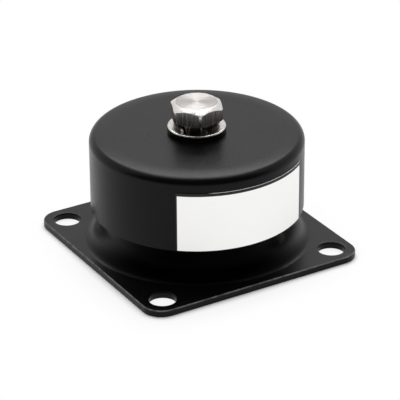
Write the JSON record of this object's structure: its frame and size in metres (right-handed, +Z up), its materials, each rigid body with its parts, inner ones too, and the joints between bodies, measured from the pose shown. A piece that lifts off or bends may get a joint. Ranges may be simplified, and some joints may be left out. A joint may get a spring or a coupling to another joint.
{
  "type": "rubber anti-vibration mount",
  "caption": "Low round sheet-metal cap on a square flanged base with corner holes; a hex-bolted core in its roof bounces on bonded rubber inside.",
  "frame": {"origin": "centre of the flange's underside, where the mount stands on its base", "axes": "+Z up along the bolt, -Y towards the label, X and Y along the flange's sides"},
  "size_m": [0.0494, 0.0494, 0.0317],
  "materials": {
    "black_coat": "satin black coat",
    "plain_steel": "zinc plated",
    "rubber": "moulded, matt",
    "stainless": "turned stainless",
    "label_film": "blank white label"
  },
  "bodies": {
    "base": {"housing": "black_coat", "flange_base": "black_coat", "base_cover": "black_coat", "outer_ring": "plain_steel", "rubber_spring": "rubber", "bump_snubber": "rubber", "label": "label_film"},
    "core": {"core": "plain_steel", "rebound_snubber": "rubber", "hex_bolt": "stainless", "spring_washer": "stainless", "flat_washer": "stainless"}
  },
  "joints": [
    {"name": "core_bounce", "type": "slide", "parent": "base", "child": "core", "axis": [0, 0, 1], "range_m": [-0.0003, 0.001], "stiffness_N_per_m": 50000, "deforming": ["rubber_spring"]}
  ]
}
